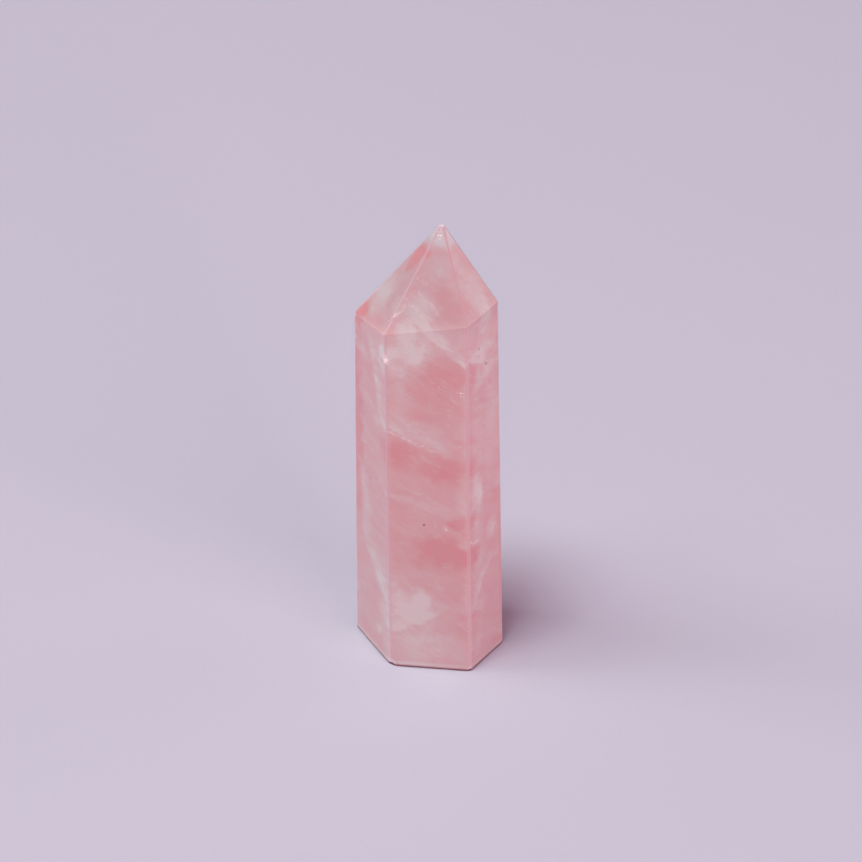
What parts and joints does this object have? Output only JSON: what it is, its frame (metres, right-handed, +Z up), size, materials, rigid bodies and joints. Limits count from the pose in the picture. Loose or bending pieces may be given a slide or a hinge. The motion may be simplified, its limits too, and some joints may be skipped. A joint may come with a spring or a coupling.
{
  "type": "rose quartz point",
  "caption": "Polished pink quartz column with six flat sides, a six-faced pointed tip off its axis and a flat foot to stand on.",
  "frame": {"origin": "on the surface it stands on, under the middle of its bounding box", "axes": "+Z up along the column towards the point; -Y towards the wide front side that the picture shows, +X to its right"},
  "size_m": [0.0214, 0.0192, 0.0696],
  "materials": {
    "rose_quartz": "polished, translucent, milky pink with paler veils"
  },
  "bodies": {
    "root": {"rose_quartz_point": "rose_quartz"}
  },
  "joints": []
}
